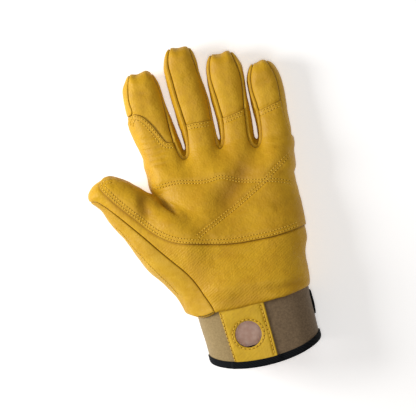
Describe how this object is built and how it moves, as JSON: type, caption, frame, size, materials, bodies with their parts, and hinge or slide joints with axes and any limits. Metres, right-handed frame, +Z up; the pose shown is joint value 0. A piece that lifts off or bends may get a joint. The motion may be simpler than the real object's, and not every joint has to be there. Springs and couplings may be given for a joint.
{
  "type": "leather work glove",
  "caption": "Left-hand leather work glove with a second layer on the palm, a padded cuff, and a tab with a clip hole.",
  "frame": {"origin": "under the middle of the whole glove, on the surface that it lies on", "axes": "+X across the palm from the thumb side to the little finger, +Y from the cuff to the fingertips, +Z up out of the palm"},
  "size_m": [0.165, 0.2557, 0.0518],
  "materials": {
    "gold_leather": "smooth grain, softly worn",
    "overlay_leather": "smooth grain, slightly duller",
    "thumb_leather": "smooth grain, pale",
    "cuff_fabric": "fine knitted face on foam",
    "black_tape": "woven tape"
  },
  "bodies": {
    "root": {"palm_panel": "gold_leather", "index_front": "gold_leather", "middle_front": "gold_leather", "ring_front": "gold_leather", "little_front": "gold_leather", "palm_overlay": "overlay_leather", "thumb_panel": "thumb_leather", "gusset_index_middle": "gold_leather", "gusset_middle_ring": "gold_leather", "gusset_ring_little": "gold_leather", "back_panel": "gold_leather", "cuff_band": "cuff_fabric", "cuff_tab": "overlay_leather", "cuff_binding": "black_tape", "closure_strap": "black_tape"}
  },
  "joints": []
}
